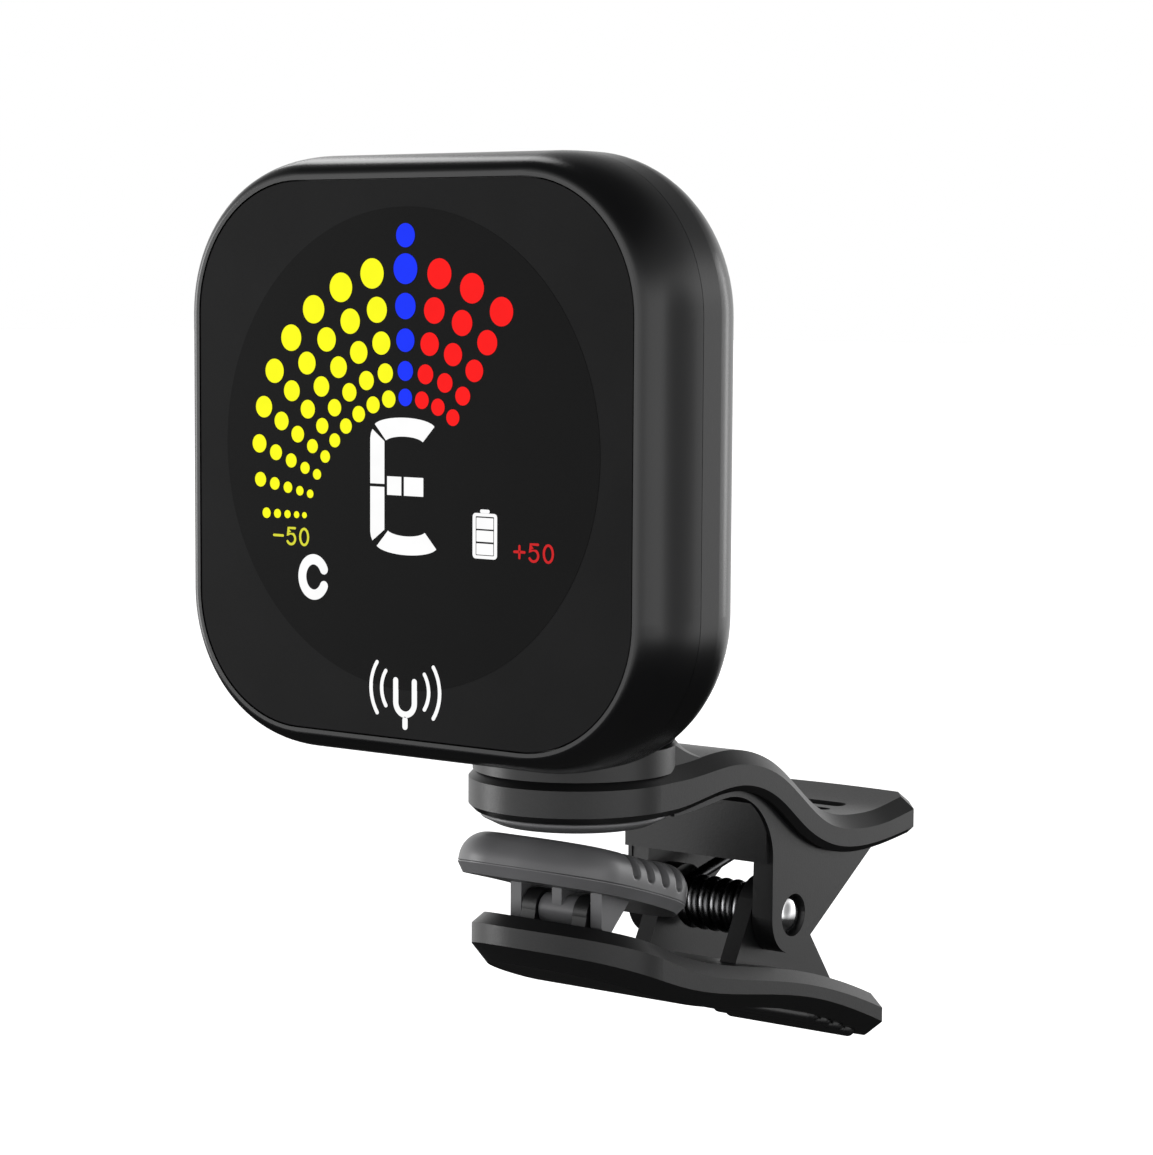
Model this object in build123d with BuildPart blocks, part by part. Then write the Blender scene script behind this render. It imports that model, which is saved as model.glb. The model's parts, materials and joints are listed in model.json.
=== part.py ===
from build123d import *
import os
from math import atan, cos, degrees, radians, sin

# Clip-on tuner. Millimetres. The display faces -Y, +Z is up, +X is to the right seen from the front.
# The origin is the centre of the fixed jaw's gripping face, on the axis that the head swivels about.

# ---- head shell
HEAD_Z = 31.2  # height of the window's centre
FRONT_Y = -22.26  # plane of the window's face
HEAD_HALF = 24.0  # half the width of the square shell
HEAD_CORNER = 12.7  # corner radius of the shell
BEZEL_DEPTH = 5.9  # front face to the seam
HEAD_DEPTH = 13.5
BACK_ROUND = 5.2  # rounding of the rear edge
WALL = 1.5
RIM_HALF = 22.2  # outer edge of the flat rim round the window
OPENING_HALF = 21.9
SEAT_HALF = 20.6  # inner edge of the ledge behind the window
SEAT_Y = FRONT_Y + 1.26
SEAM_Y = FRONT_Y + BEZEL_DEPTH
BACK_Y = FRONT_Y + HEAD_DEPTH
SEAM_GAP = 0.06
LEDGE_THICK = 0.9  # the ledge that carries the window
BEZEL_RELIEF = (0.5, 2.2)  # how the bezel's inner wall widens behind the ledge

# ---- display stack and electronics
WINDOW_HALF = 21.79
WINDOW_CORNER = 10.5
WINDOW_THICK = 1.1
GASKET_THICK = SEAT_Y - FRONT_Y - WINDOW_THICK
DISPLAY_RISE = 0.87  # the round display sits this far above the window's centre
DISPLAY_R = 19.2
LCD_THICK = 1.4
LCD_Y = SEAT_Y + 0.1
BACKLIGHT_THICK = 1.2
BACKLIGHT_Y = LCD_Y + LCD_THICK
BOARD_Y = -16.4  # front face of the board
BOARD_THICK = 1.0
BOARD_HALF = 19.4
BOARD_CUT = 9.0  # corner cut of the octagonal board
BOARD_BACK = BOARD_Y + BOARD_THICK
CELL_SIZE = (26.0, 3.4, 21.0)
CELL_Z = HEAD_Z - 3.5
TAPE_THICK = 0.3
SENSOR_LAYER = 0.2  # the brass disc and the ceramic on it
BOSS_AT = 16.6  # the four shell screws stand at this distance in x and z
BOSS_R = 2.2
BOSS_START = SEAT_Y + 0.5  # the bezel's screw columns run from here
BOSS_MEET = SEAM_Y - 0.3  # to here, where those of the cover meet them
BOSS_HOLE_DEPTH = 3.2
SHELL_SCREW_R = 0.8
COUNTERBORE_R, COUNTERBORE_DEPTH = 1.6, 3.0
SHELL_SCREW_REACH = 9.0
POST_AT = (16.2, 8.5)  # the four board posts
POST_R = 1.7
BOARD_SCREW_R = 0.6
POST_HOLE_DEPTH = 3.4
SWITCH_AT = (7.5, 13.5)  # the two buttons, from the head's centre
SWITCH_SIZE, SWITCH_HEIGHT = 4.5, 2.9
PLUNGER_R, PLUNGER_HEIGHT = 1.2, 0.5
BUTTON_R = 3.0
BUTTON_PROUD = 0.6
BUTTON_GAP = 0.15
BUTTON_FLANGE, BUTTON_FLANGE_THICK = 0.9, 0.5
PORT_Y = BOARD_BACK + 1.63
PORT_WIDTH, PORT_HEIGHT = 8.94, 3.26
PORT_DEPTH, PORT_SKIN = 7.3, 0.3

# ---- neck
TILT_Y, TILT_Z = -3.36, 13.6  # axis of the head's tilt, along X
TILT_PIN_R = 1.0
LUG_R = 3.1
LUG_IN, LUG_OUT = 3.1, 5.6
NECK_R = 8.45
NECK_FLOOR = 6.78
NECK_TOP = 8.4
SPIGOT_R = 3.2
SPIGOT_FOOT = 3.35
WASHER_R, WASHER_THICK = 3.9, 0.4
SWIVEL_SCREW_R = 1.0
RUNNING = 0.05  # radial clearance of the turning fits

# ---- upper lever
HALF_WIDTH = 8.95  # half width of both levers, and the radius of their round front ends
UPPER_END = 42.9
UPPER_CHAMFER = 1.15
UPPER_UNDER_CHAMFER = 0.55
DISC_TOP, DISC_BOTTOM = 5.0, 1.05
BOSS_TOP = 6.7
BOSS_RADIUS = 8.6
TAIL_CUT = 1.7  # corner cut of the tails
PIVOT_Y, PIVOT_Z = 22.04, -10.6  # axis of the jaw, along X
CHEEK_OUT, CHEEK_IN = 7.84, 5.69
CHEEK_BOSS = 3.4
LIP = 0.4  # width of the thin lip along the cheek's front edge
TAIL_GROOVES = (30.3, 33.0, 35.7)
TAIL_GROOVE_FLOOR = -3.6
TAIL_GROOVE_LENGTH, TAIL_GROOVE_WIDTH = 9.0, 1.5

# ---- lower lever
LOWER_FRONT_Y = 0.5
LOWER_END = 37.8
LOWER_CHAMFER = 1.05
LOWER_UNDER_CHAMFER = 1.35
RIDGES = 4  # grip ridges across the underside of the tail
RIDGE_PITCH = 2.1
RIDGE_R = 0.8
RIDGE_HALF = 7.0
LAST_RIDGE = (33.7, -23.15)
TAIL_SLOPE = 0.385
INNER_CHEEK_OUT, INNER_CHEEK_IN = 5.57, 3.9
EAR_OUT, EAR_IN = 3.4, 1.95
EAR_R = 1.6
EAR_HEIGHT = 3.4
EAR_SPREAD = 0.8  # how much further forward the ears stand at their feet

# ---- pins and spring
PIN_R = 1.15
PIN_HEAD_R = 1.75
PIN_HEAD_THICK = 0.7
PIN_SUNK = 0.2  # the pin ends this far inside the cheeks
PIN_RECESS_R = 1.9
WIRE_R = 0.57
SPRING_R = 1.9  # mean radius of the coil
SPRING_PITCH = 1.18
SPRING_TURNS = 5.41  # five turns, and the angle between the two legs
UPPER_LEG = (9.3, 12.0)  # length, and degrees that it climbs
LOWER_LEG = (8.3, -31.0)

# ---- rocker
ROCKER_Y, ROCKER_Z = -1.2, -7.5  # axis of the rocker, along X
ROCKER_PIN_R = 0.75
ROCKER_TILT = degrees(atan(0.32))  # it slopes down to the rear like the lower jaw
ROCKER_MID = (-0.3, -5.57)  # middle of the joint between frame and pad
ROCKER_SIZE = (15.3, 20.7)
ROCKER_CORNER = 6.3
ROCKER_ARCH = 0.5  # rise of the joint's middle above its ends
ROCKER_FLANGE = 0.95
FLANGE_BEVEL = 0.6  # how far the flange draws in below the joint
PAD_CROWN = 2.7  # height of the pad above the joint
CROWN_ROUND = 2.25
CROWN_REAR = 0.5  # the crown is this much higher at its rear end
HUB_R = 1.35
LEG_OUT, LEG_IN = 4.8, 3.65
LEG_SKIN = 0.4  # the pin ends this far inside the legs
GROOVES = 5  # grip grooves across the rear half of the pad
GROOVE_PITCH = 2.15
FIRST_GROOVE = -1.65
GROOVE_WIDTH = 1.0
GROOVE_DEPTH = 0.7
GROOVE_FLOOR = 0.8  # the grooves end this high above the joint

# ---- jaw pads
PAD_R = 7.95
PAD_FACE_R = 6.75
PAD_TOP = DISC_BOTTOM - 0.1
PAD_BEVEL = 0.6
PAD_SEAT_R, PAD_SEAT_TOP = 7.15, 1.55  # the pad's spigot in the disc


def facing(y, z=HEAD_Z):
    """The plane across the head at depth y. Local x is X, local y is Z, and -amount goes to the rear."""
    return Plane(origin=(0, y, z), x_dir=(1, 0, 0), z_dir=(0, -1, 0))


def side(x=0.0):
    """The plane across the width at x: local x is Y and local y is Z, and the extrusion goes to +X."""
    return Plane(origin=(x, 0, 0), x_dir=(0, 1, 0), z_dir=(1, 0, 0))


def rocker_plane(height=0.0):
    """The sloping plane of the rocker, at a height above the joint between frame and pad."""
    tilt = radians(ROCKER_TILT)
    lean = (0, sin(tilt), cos(tilt))
    middle = (0, ROCKER_MID[0] + height * lean[1], ROCKER_MID[1] + height * lean[2])
    return Plane(origin=middle, x_dir=(1, 0, 0), z_dir=lean)


def upward(faces):
    """The faces that look up, also where they slope."""
    return faces.filter_by(lambda face: face.normal_at().Z > 0.4)


def downward(faces):
    """The faces that look down, also where they slope."""
    return faces.filter_by(lambda face: face.normal_at().Z < -0.4)


def rim(faces):
    """The outer edges of a group of faces: those that two of its faces don't share."""
    edges = faces.edges()
    return ShapeList([edge for edge in edges if edges.count(edge) == 1])


def save(piece, name):
    """Labels a finished piece and writes it."""
    piece.part.label = name
    export_step(piece.part, "parts/" + name + ".step")


os.makedirs("parts", exist_ok=True)

# ======================================================================== head shell

# outside of the left wall at the charging port: local x is Z
PORT_WALL = Plane(origin=(-HEAD_HALF, PORT_Y, HEAD_Z), x_dir=(0, 0, 1), z_dir=(1, 0, 0))
corners = [(sx * BOSS_AT, sz * BOSS_AT) for sx in (-1, 1) for sz in (-1, 1)]
posts = [(sx * POST_AT[0], sz * POST_AT[1]) for sx in (-1, 1) for sz in (-1, 1)]
switches = [(-SWITCH_AT[0], SWITCH_AT[1]), (SWITCH_AT[0], SWITCH_AT[1])]

# The bezel's section runs round a square with round corners. Outside it is a quarter of an ellipse.
RIM_CORNER = HEAD_CORNER - (HEAD_HALF - RIM_HALF)
RIM_FLAT = RIM_HALF - RIM_CORNER
with BuildLine(facing(SEAM_Y)) as bezel_path:
    Line((RIM_HALF, 0), (RIM_HALF, RIM_FLAT))
    CenterArc((RIM_FLAT, RIM_FLAT), RIM_CORNER, 0, 90)
    Line((RIM_FLAT, RIM_HALF), (-RIM_FLAT, RIM_HALF))
    CenterArc((-RIM_FLAT, RIM_FLAT), RIM_CORNER, 90, 90)
    Line((-RIM_HALF, RIM_FLAT), (-RIM_HALF, -RIM_FLAT))
    CenterArc((-RIM_FLAT, -RIM_FLAT), RIM_CORNER, 180, 90)
    Line((-RIM_FLAT, -RIM_HALF), (RIM_FLAT, -RIM_HALF))
    CenterArc((RIM_FLAT, -RIM_FLAT), RIM_CORNER, 270, 90)
    Line((RIM_HALF, -RIM_FLAT), (RIM_HALF, 0))

with BuildPart() as front_bezel:
    section = Plane(origin=(RIM_HALF, SEAM_Y, HEAD_Z), x_dir=(1, 0, 0), z_dir=(0, 0, 1))
    inner = HEAD_HALF - WALL - RIM_HALF
    with BuildSketch(section):
        with BuildLine():
            EllipticalCenterArc((0, 0), HEAD_HALF - RIM_HALF, BEZEL_DEPTH, start_angle=270, arc_size=90)
            Polyline(
                (HEAD_HALF - RIM_HALF, 0),
                (inner, 0),
                (inner, -BEZEL_RELIEF[1]),
                (inner - BEZEL_RELIEF[0], SEAT_Y + LEDGE_THICK - SEAM_Y),
                (SEAT_HALF - RIM_HALF, SEAT_Y + LEDGE_THICK - SEAM_Y),
                (SEAT_HALF - RIM_HALF, SEAT_Y - SEAM_Y),
                (OPENING_HALF - RIM_HALF, SEAT_Y - SEAM_Y),
                (OPENING_HALF - RIM_HALF, -BEZEL_DEPTH),
                (0, -BEZEL_DEPTH),
            )
        make_face()
    sweep(path=bezel_path.wire())
    with BuildSketch(facing(BOSS_START)):
        with Locations(*corners):
            Circle(BOSS_R)
    extrude(amount=-(BOSS_MEET - BOSS_START))
    with BuildSketch(facing(BOSS_MEET)):
        with Locations(*corners):
            Circle(SHELL_SCREW_R)
    extrude(amount=BOSS_HOLE_DEPTH, mode=Mode.SUBTRACT)

with BuildPart() as head_cavity:
    with BuildSketch(facing(SEAM_Y)):
        inner_half = HEAD_HALF - WALL
        RectangleRounded(2 * inner_half, 2 * inner_half, HEAD_CORNER - WALL)
    extrude(amount=-(HEAD_DEPTH - BEZEL_DEPTH - WALL))
    fillet(faces().sort_by(Axis.Y)[-1].edges(), radius=BACK_ROUND - WALL)

with BuildPart() as rear_cover:
    with BuildSketch(facing(SEAM_Y + SEAM_GAP)):
        RectangleRounded(2 * HEAD_HALF, 2 * HEAD_HALF, HEAD_CORNER)
    extrude(amount=-(BACK_Y - SEAM_Y - SEAM_GAP))
    fillet(faces().sort_by(Axis.Y)[-1].edges(), radius=BACK_ROUND)
    add(head_cavity.part, mode=Mode.SUBTRACT)
    # screw columns for the shell, and posts for the board
    with BuildSketch(facing(BOSS_MEET + SEAM_GAP)):
        with Locations(*corners):
            Circle(BOSS_R)
    extrude(amount=-(BACK_Y - SEAM_Y - 0.6))
    with BuildSketch(facing(BOARD_BACK)):
        with Locations(*posts):
            Circle(POST_R)
    extrude(amount=-(BACK_Y - BOARD_BACK - 0.8))
    # hinge lugs that carry the head on the neck
    for x in (-LUG_OUT, LUG_IN):
        with BuildSketch(side(x)):
            with Locations((TILT_Y, TILT_Z)):
                Circle(LUG_R)
            with BuildLine():
                Polyline(
                    (TILT_Y, TILT_Z + LUG_R),
                    (BACK_Y - 0.9, TILT_Z + LUG_R + 0.8),
                    (BACK_Y - 0.9, TILT_Z - LUG_R + 0.2),
                    (TILT_Y, TILT_Z - LUG_R),
                    close=True,
                )
            make_face()
        extrude(amount=LUG_OUT - LUG_IN)
    with BuildSketch(side(-LUG_OUT)):
        with Locations((TILT_Y, TILT_Z)):
            Circle(TILT_PIN_R)
    extrude(amount=2 * LUG_OUT, mode=Mode.SUBTRACT)
    # counterbored screw holes, seen from behind
    with BuildSketch(facing(BACK_Y)):
        with Locations(*corners):
            Circle(COUNTERBORE_R)
    extrude(amount=COUNTERBORE_DEPTH, mode=Mode.SUBTRACT)
    with BuildSketch(facing(BACK_Y)):
        with Locations(*corners):
            Circle(SHELL_SCREW_R)
    extrude(amount=SHELL_SCREW_REACH, mode=Mode.SUBTRACT)
    with BuildSketch(facing(BOARD_BACK)):
        with Locations(*posts):
            Circle(BOARD_SCREW_R)
    extrude(amount=-POST_HOLE_DEPTH, mode=Mode.SUBTRACT)
    # button holes
    with BuildSketch(facing(BACK_Y)):
        with Locations(*switches):
            Circle(BUTTON_R + BUTTON_GAP)
    extrude(amount=WALL + 0.5, mode=Mode.SUBTRACT)
    # charging port in the left wall
    with BuildSketch(PORT_WALL):
        RectangleRounded(PORT_WIDTH + 0.5, PORT_HEIGHT + 0.4, 1.8)
    extrude(amount=3.0, mode=Mode.SUBTRACT)

save(front_bezel, "front_bezel")
save(rear_cover, "rear_cover")

# ======================================================================== display

with BuildPart() as display_window:
    with BuildSketch(facing(FRONT_Y)):
        RectangleRounded(2 * WINDOW_HALF, 2 * WINDOW_HALF, WINDOW_CORNER)
    extrude(amount=-WINDOW_THICK)
    chamfer(faces().sort_by(Axis.Y)[0].edges(), length=0.08)

with BuildPart() as window_gasket:
    with BuildSketch(facing(FRONT_Y + WINDOW_THICK)):
        gasket_outer = 2 * WINDOW_HALF - 0.2
        gasket_inner = 2 * SEAT_HALF + 0.1
        RectangleRounded(gasket_outer, gasket_outer, WINDOW_CORNER - 0.1)
        RectangleRounded(gasket_inner, gasket_inner, WINDOW_CORNER - 1.2, mode=Mode.SUBTRACT)
    extrude(amount=-GASKET_THICK)

with BuildPart() as lcd_panel:
    with BuildSketch(facing(LCD_Y, HEAD_Z + DISPLAY_RISE)):
        Circle(DISPLAY_R)
    extrude(amount=-LCD_THICK)

with BuildPart() as backlight:
    with BuildSketch(facing(BACKLIGHT_Y, HEAD_Z + DISPLAY_RISE)):
        Circle(DISPLAY_R)
    extrude(amount=-BACKLIGHT_THICK)
    with BuildSketch(facing(BACKLIGHT_Y + BACKLIGHT_THICK, HEAD_Z + DISPLAY_RISE)):
        with PolarLocations(15.0, 6):
            Rectangle(3.0, 1.6)
    extrude(amount=-0.5)

# A flat ribbon leaves the display's lower edge, turns rearwards and lies on the board.
FLEX_THICK = 0.2
FLEX_WIDTH = 12.0
with BuildPart() as display_flex:
    flex_top = HEAD_Z + DISPLAY_RISE - DISPLAY_R
    with BuildSketch(side(-FLEX_WIDTH / 2)):
        with BuildLine() as ribbon:
            FilletPolyline(
                (LCD_Y + LCD_THICK / 2, flex_top + 0.95),
                (LCD_Y + LCD_THICK / 2, flex_top - 0.85),
                (BOARD_Y - FLEX_THICK, flex_top - 0.85),
                (BOARD_Y - FLEX_THICK, flex_top + 3.0),
                radius=0.5,
            )
            offset(amount=FLEX_THICK / 2, side=Side.BOTH)
        make_face()
    extrude(amount=FLEX_WIDTH)

for piece, name in (
    (display_window, "display_window"),
    (window_gasket, "window_gasket"),
    (lcd_panel, "lcd_panel"),
    (backlight, "backlight"),
    (display_flex, "display_flex"),
):
    save(piece, name)

# ======================================================================== electronics

with BuildPart() as main_board:
    with BuildSketch(facing(BOARD_Y)):
        Rectangle(2 * BOARD_HALF, 2 * BOARD_HALF)
        chamfer(vertices(), length=BOARD_CUT)
        with Locations(*posts):
            Circle(BOARD_SCREW_R, mode=Mode.SUBTRACT)
    extrude(amount=-BOARD_THICK)

with BuildPart() as sound_chip:
    with BuildSketch(facing(BOARD_Y)):
        with Locations((0, 4)):
            Rectangle(7, 7)
        with Locations((9, -5)):
            Rectangle(4, 5)
    extrude(amount=0.9)

with BuildPart() as battery_tape:
    with Locations((0, BOARD_BACK + TAPE_THICK / 2, CELL_Z)):
        Box(CELL_SIZE[0] - 6, TAPE_THICK, CELL_SIZE[2] - 6)

with BuildPart() as battery_cell:
    with Locations((0, BOARD_BACK + TAPE_THICK + CELL_SIZE[1] / 2, CELL_Z)):
        Box(*CELL_SIZE)
    fillet(edges().filter_by(Axis.Z), radius=1.2)

with BuildPart() as piezo_sensor:
    for layer, radius in enumerate((7.5, 5.5)):
        with BuildSketch(facing(BACK_Y - WALL - layer * SENSOR_LAYER, HEAD_Z - 2)):
            Circle(radius)
        extrude(amount=SENSOR_LAYER)

with BuildPart() as usb_receptacle:
    port_mouth = PORT_WALL.offset(WALL - PORT_SKIN)
    with BuildSketch(port_mouth):
        RectangleRounded(PORT_WIDTH, PORT_HEIGHT, 1.3)
    extrude(amount=PORT_DEPTH)
    # hollow, with a tongue in the middle
    with BuildSketch(port_mouth):
        RectangleRounded(PORT_WIDTH - 2 * PORT_SKIN, PORT_HEIGHT - 2 * PORT_SKIN, 1.0)
        Rectangle(6.7, 0.7, mode=Mode.SUBTRACT)
    extrude(amount=PORT_DEPTH - 1.0, mode=Mode.SUBTRACT)

with BuildPart() as tact_switches:
    with BuildSketch(facing(BOARD_BACK)):
        with Locations(*switches):
            Rectangle(SWITCH_SIZE, SWITCH_SIZE)
    extrude(amount=-SWITCH_HEIGHT)
    with BuildSketch(facing(BOARD_BACK + SWITCH_HEIGHT)):
        with Locations(*switches):
            Circle(PLUNGER_R)
    extrude(amount=-PLUNGER_HEIGHT)


def button(centre):
    """A button cap with a flange behind the cover, and a short stem over its switch."""
    with BuildPart() as cap:
        with BuildSketch(facing(BACK_Y + BUTTON_PROUD)):
            with Locations(centre):
                Circle(BUTTON_R)
        extrude(amount=BUTTON_PROUD + WALL + 0.3)
        fillet(faces().sort_by(Axis.Y)[-1].edges(), radius=0.35)
        with BuildSketch(facing(BACK_Y - WALL - 0.05)):
            with Locations(centre):
                Circle(BUTTON_R + BUTTON_FLANGE)
        extrude(amount=BUTTON_FLANGE_THICK)
        with BuildSketch(facing(BACK_Y - WALL - BUTTON_FLANGE_THICK)):
            with Locations(centre):
                Circle(PLUNGER_R + 0.1)
        extrude(amount=0.7)
    return cap


power_button = button(switches[0])
mode_button = button(switches[1])


def pan_screw(plane, places, radius, length, head_r, head_height):
    """Screws whose heads stand on the plane and whose shanks run along its normal."""
    with BuildPart() as screws:
        with BuildSketch(plane):
            with Locations(*places):
                Circle(radius)
        extrude(amount=length)
        with BuildSketch(plane):
            with Locations(*places):
                Circle(head_r)
        extrude(amount=-head_height)
        with BuildSketch(plane.offset(-head_height)):
            with Locations(*places):
                Rectangle(head_r * 1.1, head_r * 0.32)
                Rectangle(head_r * 0.32, head_r * 1.1)
        extrude(amount=head_height * 0.5, mode=Mode.SUBTRACT)
    return screws


shell_screws = pan_screw(facing(BACK_Y - 3.0), corners, SHELL_SCREW_R, 7.0, 1.5, 1.1)
board_screws = pan_screw(
    Plane(origin=(0, BOARD_Y, HEAD_Z), x_dir=(1, 0, 0), z_dir=(0, 1, 0)),
    posts,
    BOARD_SCREW_R,
    3.8,
    1.2,
    0.8,
)

for piece, name in (
    (main_board, "main_board"),
    (sound_chip, "sound_chip"),
    (battery_tape, "battery_tape"),
    (battery_cell, "battery_cell"),
    (piezo_sensor, "piezo_sensor"),
    (usb_receptacle, "usb_receptacle"),
    (tact_switches, "tact_switches"),
    (power_button, "power_button"),
    (mode_button, "mode_button"),
    (shell_screws, "shell_screws"),
    (board_screws, "board_screws"),
):
    save(piece, name)

# ======================================================================== neck

with BuildPart() as swivel_neck:
    # turntable, with the spigot that turns in the clip's disc
    with BuildSketch(side()):
        with BuildLine():
            Polyline((0, NECK_FLOOR), (NECK_R - 0.25, NECK_FLOOR), (NECK_R, NECK_FLOOR + 0.3))
            Polyline((NECK_R, NECK_FLOOR + 0.3), (NECK_R, NECK_TOP - 0.7))
            RadiusArc((NECK_R, NECK_TOP - 0.7), (NECK_R - 0.7, NECK_TOP), -0.7)
            Polyline((NECK_R - 0.7, NECK_TOP), (0, NECK_TOP), (0, NECK_FLOOR))
        make_face()
    revolve(axis=Axis.Z)
    with BuildSketch(Plane.XY.offset(SPIGOT_FOOT)):
        Circle(SPIGOT_R)
    extrude(amount=NECK_FLOOR - SPIGOT_FOOT)
    # column and hinge tongue between the lugs
    with BuildSketch(side(-LUG_IN + 0.1)):
        with Locations((TILT_Y, TILT_Z)):
            Circle(LUG_R - 0.1)
        with BuildLine():
            Polyline(
                (TILT_Y - 2.2, TILT_Z - 2.0),
                (TILT_Y - 2.6, NECK_TOP - 0.5),
                (5.2, NECK_TOP - 0.5),
                (4.2, NECK_TOP + 1.2),
                (TILT_Y + 2.6, TILT_Z + 1.5),
                close=True,
            )
        make_face()
    extrude(amount=2 * (LUG_IN - 0.1))
    with BuildSketch(side(-LUG_OUT)):
        with Locations((TILT_Y, TILT_Z)):
            Circle(TILT_PIN_R + RUNNING)
    extrude(amount=2 * LUG_OUT, mode=Mode.SUBTRACT)
    with BuildSketch(Plane.XY.offset(SPIGOT_FOOT)):
        Circle(SWIVEL_SCREW_R)
    extrude(amount=5.0, mode=Mode.SUBTRACT)

with BuildPart() as tilt_pin:
    with BuildSketch(side(-LUG_OUT)):
        with Locations((TILT_Y, TILT_Z)):
            Circle(TILT_PIN_R)
    extrude(amount=2 * LUG_OUT)
    chamfer(edges(), length=0.15)

with BuildPart() as swivel_washer:
    with BuildSketch(Plane.XY.offset(SPIGOT_FOOT - WASHER_THICK)):
        Circle(WASHER_R)
        Circle(SWIVEL_SCREW_R, mode=Mode.SUBTRACT)
    extrude(amount=WASHER_THICK)

swivel_screw = pan_screw(
    Plane.XY.offset(SPIGOT_FOOT - WASHER_THICK), [(0, 0)], SWIVEL_SCREW_R, 5.0, 2.0, 1.1
)

for piece, name in (
    (swivel_neck, "swivel_neck"),
    (tilt_pin, "tilt_pin"),
    (swivel_washer, "swivel_washer"),
    (swivel_screw, "swivel_screw"),
):
    save(piece, name)

# ======================================================================== upper lever


def lever_plate(top, bottom, front_y, end_y, top_chamfer, under_chamfer):
    """A lever's plate: a curved side profile as wide as the lever, trimmed to a round front and a cut tail."""
    with BuildPart() as plate:
        with BuildSketch(side(-HALF_WIDTH - 1)):
            with BuildLine():
                upper = top()
                lower = bottom()
                Line(upper @ 1, lower @ 0)
                Line(lower @ 1, upper @ 0)
            make_face()
        extrude(amount=2 * HALF_WIDTH + 2)
        with BuildSketch(Plane.XY.offset(-40)):
            with Locations((0, front_y)):
                Circle(HALF_WIDTH)
            with BuildLine():
                Polyline(
                    (-HALF_WIDTH, front_y),
                    (HALF_WIDTH, front_y),
                    (HALF_WIDTH, end_y - TAIL_CUT * 1.3),
                    (HALF_WIDTH - TAIL_CUT, end_y - 0.25),
                )
                ThreePointArc(
                    (HALF_WIDTH - TAIL_CUT, end_y - 0.25),
                    (0, end_y),
                    (-HALF_WIDTH + TAIL_CUT, end_y - 0.25),
                )
                Polyline(
                    (-HALF_WIDTH + TAIL_CUT, end_y - 0.25),
                    (-HALF_WIDTH, end_y - TAIL_CUT * 1.3),
                    (-HALF_WIDTH, front_y),
                )
            make_face()
        extrude(amount=60, mode=Mode.INTERSECT)
        chamfer(rim(upward(faces())), length=top_chamfer)
        chamfer(rim(downward(faces())), length=under_chamfer)
    return plate


def upper_top():
    """Level over the disc, a slight hump over the jaw, then down to the tail."""
    flat = Line((-HALF_WIDTH - 1, DISC_TOP), (3, DISC_TOP))
    curve = Spline(
        flat @ 1,
        (11.8, 5.35),
        (18.4, 3.55),
        (22.8, 0.6),
        (27, -1.95),
        (33, -2.9),
        (44, -1.75),
        tangents=[(1, 0), (1, 0.14)],
    )
    return Wire([flat, curve])


def upper_bottom():
    """The same line below, a little nearer under the hump and the tail."""
    return Spline(
        (44, -5.25),
        (33, -6.15),
        (27.5, -5.55),
        (22, -3.1),
        (17.3, 0.2),
        (12.3, 1.78),
        (3, DISC_BOTTOM),
        (-1, DISC_BOTTOM),
        (-5, DISC_BOTTOM),
        (-HALF_WIDTH - 1, DISC_BOTTOM),
        tangents=[(-1, -0.1), (-1, 0)],
    )


upper_plate = lever_plate(
    upper_top, upper_bottom, 0, UPPER_END, UPPER_CHAMFER, UPPER_UNDER_CHAMFER
)

# The flare on top of the disc spreads from the neck onto the arm, and stays within the arm's top face.
with BuildPart() as flare:
    with BuildSketch(side()):
        with BuildLine():
            Line((0, DISC_TOP - 0.5), (BOSS_RADIUS + 3.2, DISC_TOP - 0.5))
            Line((BOSS_RADIUS + 3.2, DISC_TOP - 0.5), (BOSS_RADIUS + 3.2, DISC_TOP + 0.02))
            RadiusArc((BOSS_RADIUS + 3.2, DISC_TOP + 0.02), (BOSS_RADIUS, BOSS_TOP), 4.4)
            Polyline((BOSS_RADIUS, BOSS_TOP), (0, BOSS_TOP), (0, DISC_TOP - 0.5))
        make_face()
    revolve(axis=Axis.Z)
    with BuildSketch(Plane.XY.offset(DISC_TOP - 1)):
        Circle(BOSS_RADIUS)
        with Locations((0, 10)):
            Rectangle(2 * CHEEK_OUT, 20)
    extrude(amount=4, mode=Mode.INTERSECT)

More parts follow.
